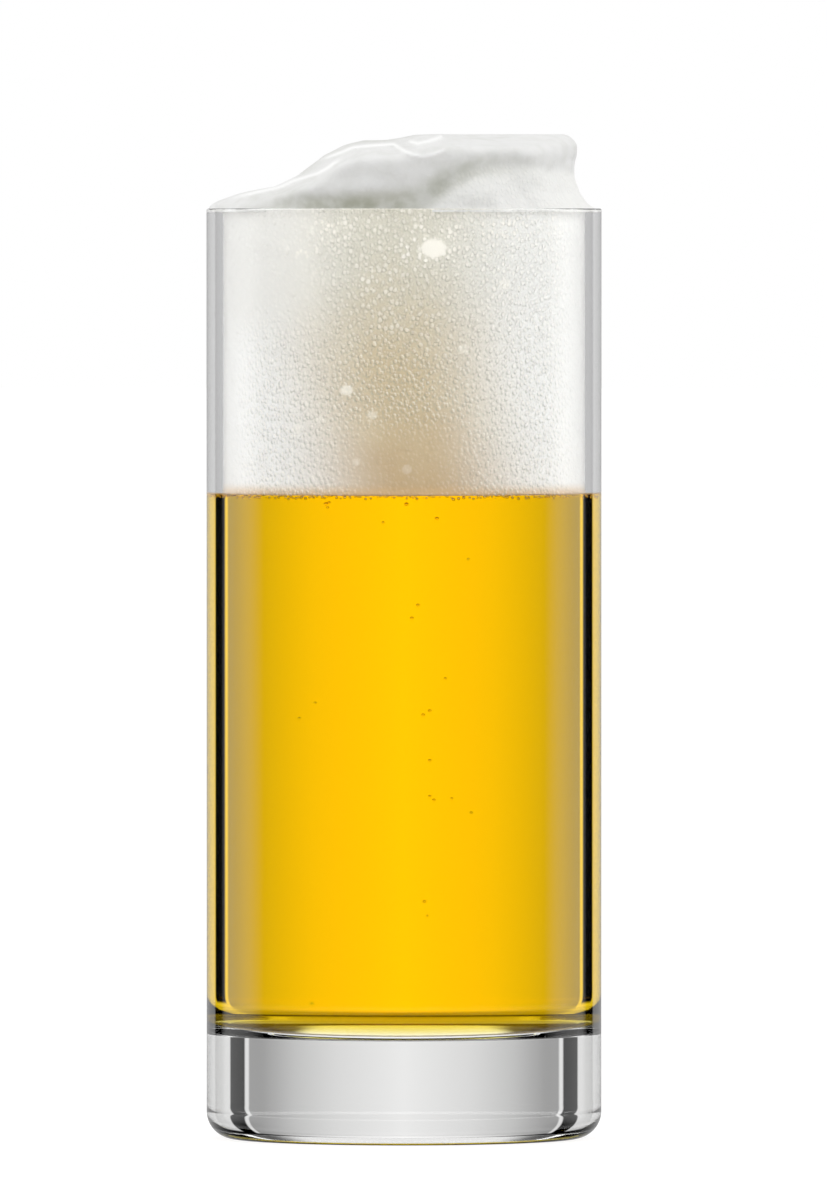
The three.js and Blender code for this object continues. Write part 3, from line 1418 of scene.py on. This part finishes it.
    def top_at(self, place: np.ndarray) -> np.ndarray:
        """How high the heap is, before it is scraped level.

        Args:
            place: The grid of places.

        Returns:
            The heap's height at each.
        """
        x, depth = place[..., 0], np.abs(place[..., 1])
        top = follow(self.outline, x - self.lag * depth * eased(-x, *self.lag_across))
        half = np.sqrt(np.clip(self.reach**2 - x * x, self.least_half**2, None))
        top = top - (self.droop_share * top + self.droop) * (depth / half) ** 3
        swells = spread(place[:, :, 0] * (1, 1, 0), *self.swells)[:, :, None] + self.swell_offset
        return top - swells.clip(0, None) * self.swell * eased(depth, *self.swell_depth)

    def side_at(self, place: np.ndarray) -> np.ndarray:
        """How far out the heap reaches.

        Args:
            place: The grid of places.

        Returns:
            The heap's radius at each.
        """
        x, z = place[..., 0], place[..., 2]
        to_right = eased(x, *self.right_across)
        to_left = eased(-x, *self.left_across)
        side = follow(self.front_side, z)
        for share, path in ((to_right, self.right_side), (to_left, self.left_side)):
            side = side + (follow(path, z) - side) * share
        seen_x = x[:, :1]
        near = path_distance(seen_x, z[:, :1], self.hollow)[0] / follow(self.hollow_width, seen_x)
        side = side - follow(self.hollow_depth, seen_x) * np.exp(-(near**2))
        side = side + spread(place, *self.lumps) * self.lump * (1 - to_right)
        return side + spread(place, *self.ripples) * self.ripple

    def near_folds(
        self, x: np.ndarray, z: np.ndarray, width: float, taper: float
    ) -> list[np.ndarray]:
        """Says how near places are to each fold's crest.

        Args:
            x: The places' distance to the right of the axis.
            z: Their height above the rim.
            width: How wide a fold is.
            taper: The share of its length that each end takes.

        Returns:
            For each fold, values from 0 away from it to 1 on its crest.
        """
        nearness = []
        for fold in self.folds:
            away, along = path_distance(x, z, fold)
            ends = eased(along, 0.0, taper) * (1 - eased(along, 1 - taper, 1.0))
            nearness.append(ends * np.exp(-((away / width) ** 2)))
        return nearness

    def mark(self, mesh: Mesh, points: np.ndarray) -> None:
        """Marks the painted highlight on the folds' crests, the painted shade in the hollow and on
        the slope, and the bubbly stem.

        Args:
            mesh: The heap's mesh.
            points: Its points.
        """
        x, y, z = points.T
        # Painted highlight along each fold's crest.
        crest = np.maximum.reduce(self.near_folds(x, z, *self.fold_mark))
        outer = eased(np.hypot(x, y), *self.outer)
        # Painted shade along the hollow, and on the slope under the outline's left part.
        near = path_distance(x, z, self.hollow)[0] / self.shade_width
        hollow = follow(self.hollow_shade, x) * np.exp(-(near**2)) * outer
        brow = (follow(self.outline, x) - z) / self.slope_width
        slope = eased(x, *self.slope_left) * (1 - eased(x, *self.slope_right))
        hollow = np.maximum(hollow, self.slope_shade * slope * np.exp(-(brow**2)))
        below = follow(self.hollow, x) - z
        bubbly = eased(below, *self.stem_below) * eased(x, *self.stem_across) * outer
        carry(mesh, crest=crest, hollow=hollow, bubbly=self.stem_bubbles * bubbly)


def settle(made: Object) -> None:
    """Applies an object's modifiers to its mesh.

    Args:
        made: The object.
    """
    depsgraph = bpy.context.evaluated_depsgraph_get()
    shaped = bpy.data.meshes.new_from_object(made.evaluated_get(depsgraph))
    made.modifiers.clear()
    made.data = shaped
    shaped.shade_smooth()


@dataclass
class Studio:
    """A pale floor in soft light, with a bright backdrop that ends in dark edges.

    Each ramp runs from 0 to 1. The backdrop's goes by how far aside a ray runs, the rising and the
    falling one by how steeply, and the softboxes' by how far back. Ranges that end in foot or
    height go by how far a ray falls or rises, and a ray's depth is how often it has passed a face.
    """

    floor_size: float = 30.0
    floor_glow: float = 0.86
    floor_colour: Colour = (0.8, 0.8, 0.8, 1.0)
    floor_seen: Colour = (0.26, 0.26, 0.26, 1.0)
    lamp_size: float = 1.2
    lamp_power: float = 4.0
    lamp_place: tuple[float, float, float] = (0.1, 0.25, 1.5)
    lamp_aim: tuple[float, float, float] = (0.0, 0.0, 0.1)
    # The backdrop, and the dark upright flag on each side of it.
    backdrop: Profile = (
        (0.0, 0.90), (0.24, 0.75), (0.41, 0.58), (0.5, 0.46), (0.59, 0.36), (0.65, 0.32),
        (0.66, 0.78), (0.79, 0.76), (0.88, 0.85), (1.0, 0.85),
    )  # fmt: skip
    backdrop_level: float = 1.5
    backdrop_mirrored: float = 0.63
    backdrop_height: Range = (0.4, 0.46)
    backdrop_foot: Range = (0.2, 0.3)
    flag: Range = (0.682, 0.789)
    flag_edge: float = 0.007
    flag_foot: Range = (0.12, 0.2)
    # The light from above and from below.
    rising: Profile = (
        (0.0, 0.0), (0.4, 0.0), (0.46, 0.6), (0.5, 0.9), (0.75, 1.0), (0.80, 0.02), (1.0, 0.02),
    )  # fmt: skip
    rising_level: float = 1.85
    narrow_across: Range = (0.4, 0.65)
    narrow_shares: Range = (1.0, 0.1)
    falling: Profile = (
        (0.0, 0.0), (0.2, 0.0), (0.3, 0.7), (0.44, 0.65), (0.5, 1.0), (0.8, 1.0), (0.88, 0.5),
        (1.0, 0.5),
    )  # fmt: skip
    falling_across: Range = (0.6, 0.7)
    falling_shares: Range = (1.0, 1.6)
    sunk_level: float = 1.35
    wide_level: float = 3.0
    wide_across: Range = (0.77, 0.84)
    # What is mirrored towards the front, and the softboxes on the outside.
    front: Range = (-0.25, 0.2)
    turned_foot: Range = (0.3, 0.45)
    turned_shares: Range = (0.6, 1.0)
    softboxes: Profile = (
        (0.0, 0.0), (0.07, 0.3), (0.2, 0.85), (0.3, 1.0), (0.55, 1.0), (0.62, 0.8), (0.70, 0.0),
        (0.81, 0.0), (0.84, 0.75), (0.93, 0.6), (1.0, 0.5),
    )  # fmt: skip
    boxes_foot: Range = (0.05, 0.5)
    overhead_height: Range = (0.3, 0.6)
    overhead_level: float = 0.9
    # The soft light on what isn't clear.
    soft_outside: Range = (0.62, 1.77)
    soft_inside: Range = (0.85, 1.23)
    soft_overhead: Range = (1.0, 1.25)
    soft_level: float = 2.2
    soft_behind: Range = (1.0, 0.2)
    # The depths that tell rays apart.
    once: float = 0.5
    in_drink: float = 2.5
    behind_drink: float = 5.5
    # Keeps the level part of a ray that runs straight up or down over 0.
    least_level: float = 1e-3

    def build_floor(self) -> None:
        """Makes the floor, white to the camera, where it keeps the glass's shadow."""
        half = self.floor_size / 2
        mesh = bpy.data.meshes.new("floor")
        corners = [(-half, -half, 0), (half, -half, 0), (half, half, 0), (-half, half, 0)]
        mesh.from_pydata(corners, [], [(0, 1, 2, 3)])
        floor = smooth_object("floor", mesh)
        made = bpy.data.materials.new("pale_floor")
        tree = Tree(made)
        seen = tree.node("ShaderNodeLightPath")["Is Camera Ray"]
        painted = tree.node("ShaderNodeBsdfDiffuse", {}, {"Color": self.floor_colour})
        shaded = tree.node("ShaderNodeBsdfDiffuse", {}, {"Color": self.floor_seen})
        glow = tree.node("ShaderNodeEmission", {}, {"Color": WHITE, "Strength": self.floor_glow})
        lit = tree.node("ShaderNodeAddShader", {}, {0: shaded["BSDF"], 1: glow["Emission"]})
        inputs = {0: seen, 1: painted["BSDF"], 2: lit["Shader"]}
        tree.surface(tree.node("ShaderNodeMixShader", {}, inputs)["Shader"])
        mesh.materials.append(made)
        floor.visible_transmission = False
        floor.visible_glossy = False

    def clear_light(self, tree: Tree, path: Made) -> Value:
        """What a clear ray finds, through the glass or mirrored in it.

        Args:
            tree: The world's tree.
            path: Its Light Path node.

        Returns:
            The brightness.
        """
        x, y, z = tree.axes(tree.coordinates("Generated"))
        down = 0 - z
        level = (x * x + y * y + self.least_level**2).root()
        aside = abs(x) / level
        entered = path["Transmission Depth"].over(self.once)
        in_drink = path["Transmission Depth"].over(self.in_drink)
        mirrored = path["Glossy Depth"].over(self.once)
        to_front = 1 - (y / level).rise(*self.front)
        flag = aside.band(*self.flag, self.flag_edge) * (1 - down.rise(*self.flag_foot))
        backdrop = tree.ramp(aside, self.backdrop) * (1 - flag) * self.backdrop_level
        backdrop = backdrop + mirrored * (self.backdrop_mirrored - backdrop)
        narrow = aside.rise(*self.narrow_across).between(*self.narrow_shares)
        rising = tree.ramp(z.held(), self.rising) * narrow * mirrored * self.rising_level
        falling = tree.ramp(down.held(), self.falling)
        falling = falling * aside.rise(*self.falling_across).between(*self.falling_shares)
        wide = to_front.math("MAXIMUM", aside.rise(*self.wide_across)) * self.wide_level
        below = down.rise(*self.backdrop_foot)
        sunk = below * (narrow * self.sunk_level).math("MAXIMUM", wide)
        falling = falling + mirrored * (sunk - falling)
        through = backdrop * (1 - z.rise(*self.backdrop_height)) * (1 - below)
        turned_back = mirrored * to_front * (1 - down.rise(*self.turned_foot))
        turned_back = turned_back * in_drink.between(*self.turned_shares)
        through = (through + rising + falling) * (1 - turned_back)
        overhead = z.rise(*self.overhead_height)
        boxes = tree.ramp(y / level, self.softboxes) * (1 - overhead)
        boxes = (boxes + overhead * self.overhead_level) * (1 - down.rise(*self.boxes_foot))
        return through * entered + boxes * (1 - entered)

    def soft_light(self, tree: Tree, path: Made) -> Value:
        """The plain light on what isn't clear, stronger from the two sides.

        Args:
            tree: The world's tree.
            path: Its Light Path node.

        Returns:
            The brightness.
        """
        x, _, z = tree.axes(tree.coordinates("Generated"))
        entered = path["Transmission Depth"].over(self.once)
        behind = path["Transmission Depth"].over(self.behind_drink) * z.over(0.0)
        side = (x * x).math("MINIMUM", 1.0)
        outside = side.between(*self.soft_outside) * (1 - entered)
        inside = (side * side).between(*self.soft_inside) * z.between(*self.soft_overhead)
        return outside + inside * entered * self.soft_level * behind.between(*self.soft_behind)

    def build_world(self) -> None:
        """Makes the room's light, which is plain white to the camera."""
        world = bpy.data.worlds.new("studio")
        bpy.context.scene.world = world
        tree = Tree(world)
        path = tree.node("ShaderNodeLightPath")
        camera = path["Is Camera Ray"]
        soft = path["Diffuse Depth"].over(self.once)
        light = self.clear_light(tree, path) * (1 - soft) + self.soft_light(tree, path) * soft
        inputs = {"Color": WHITE, "Strength": camera + (1 - camera) * light}
        shader = tree.node("ShaderNodeBackground", {}, inputs)
        tree.node("ShaderNodeOutputWorld", {}, {"Surface": shader["Background"]})

    def build_lamp(self) -> None:
        """Hangs a soft lamp over the glass."""
        lamp = bpy.data.lights.new("overhead", "AREA")
        lamp.shape = "SQUARE"
        lamp.size = self.lamp_size
        lamp.energy = self.lamp_power
        made = bpy.data.objects.new("lamp_overhead", lamp)
        made.location = self.lamp_place
        aim = Vector(self.lamp_aim) - made.location
        made.rotation_euler = aim.to_track_quat("-Z", "Y").to_euler()
        made.visible_glossy = False
        made.visible_transmission = False
        bpy.context.scene.collection.objects.link(made)

    def build(self) -> None:
        """Makes the whole studio."""
        self.build_floor()
        self.build_world()
        self.build_lamp()
        bpy.context.scene.view_settings.view_transform = "Standard"


@dataclass
class PhotoCamera:
    """The photograph's view: from the front, level with the rim."""

    image_width: float = 827.0
    image_height: float = 1182.0
    axis_column: float = 404.0
    rim_row: float = 208.5
    glass_width: float = 395.0
    distance: float = 3.6
    sensor: float = 36.0
    farthest: float = 100.0

    def build(self, glass: Tumbler) -> None:
        """Makes the camera, framed on the glass as the photograph is.

        Args:
            glass: The glass that it looks at.
        """
        pixel = 2 * glass.radius / self.glass_width
        focal_pixels = self.distance / pixel
        data = bpy.data.cameras.new("camera")
        data.sensor_width = self.sensor
        data.lens = self.sensor * focal_pixels / max(self.image_width, self.image_height)
        data.clip_end = self.farthest
        camera = bpy.data.objects.new("camera", data)
        aside = (self.image_width / 2 - self.axis_column) * pixel
        camera.location = (aside, -self.distance, glass.height)
        down = math.atan2(self.image_height / 2 - self.rim_row, focal_pixels)
        camera.rotation_euler = (math.pi / 2 - down, 0, 0)
        bpy.context.scene.collection.objects.link(camera)
        bpy.context.scene.camera = camera


def main() -> None:
    """Builds the dressed glass in its studio."""
    logging.basicConfig(level=logging.INFO, format="%(message)s")
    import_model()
    glass_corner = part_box(Node.TUMBLER.value)[1]
    beer_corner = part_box(Node.BEER.value)[1]
    glass = Tumbler(radius=glass_corner.x, height=glass_corner.z, wet_to=beer_corner.z)
    PhotoCamera().build(glass)
    wet_glass = WetGlass("wet_glass", GLASS_INDEX / BEER_INDEX)
    glass.build(Glass("clear_glass", GLASS_INDEX), wet_glass)
    Beer(glass, beer_corner.z).build(Lager("lager", 1.0), Clear("beer_bubble", BEER_INDEX))
    froth = Froth(beer_corner.z, glass.height, beer_corner.x).material()
    FoamColumn(glass, beer_corner.x, beer_corner.z).build(froth)
    FoamCrown(glass.height).build(froth)
    Studio().build()


if __name__ == "__main__":
    main()
